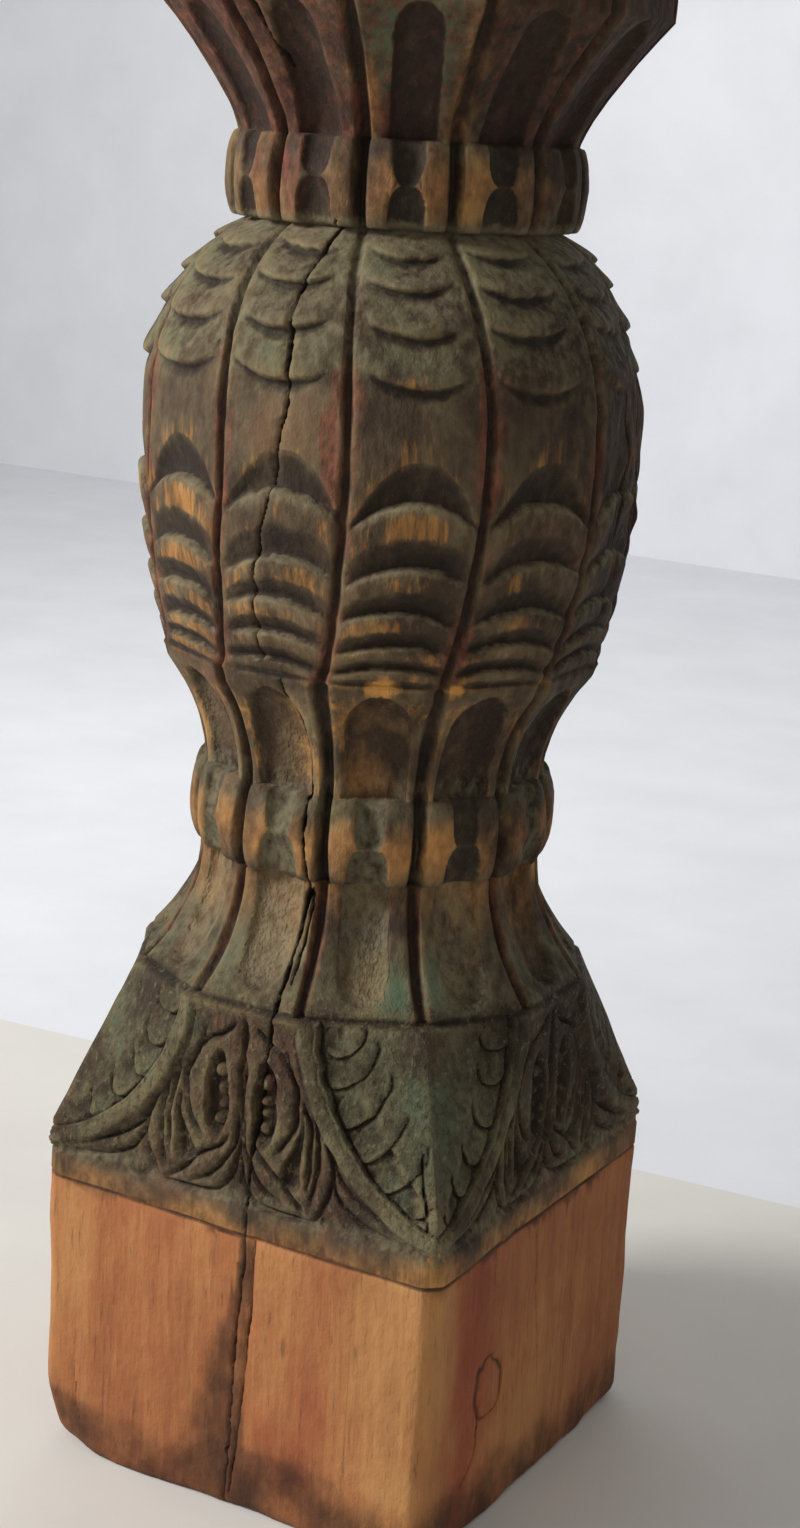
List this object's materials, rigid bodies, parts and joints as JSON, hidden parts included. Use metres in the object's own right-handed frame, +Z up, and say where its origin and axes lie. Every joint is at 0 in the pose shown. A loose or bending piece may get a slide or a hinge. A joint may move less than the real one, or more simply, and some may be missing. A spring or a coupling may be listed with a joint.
{
  "type": "carved wooden pillar base",
  "caption": "Foot of a carved timber pillar: square block, corner leaves, fluted bell and neck between lobed rings, a scaled pot, and a flared top cut square.",
  "frame": {"origin": "middle of the flat underside of the square block", "axes": "+Z up along the timber; the block's four faces look along +X, -X, +Y and -Y"},
  "size_m": [0.31, 0.31, 0.956],
  "materials": {
    "painted_wood": "old carved timber, worn paint over bare orange-brown wood, dull"
  },
  "bodies": {
    "root": {"pillar": "painted_wood"}
  },
  "joints": []
}
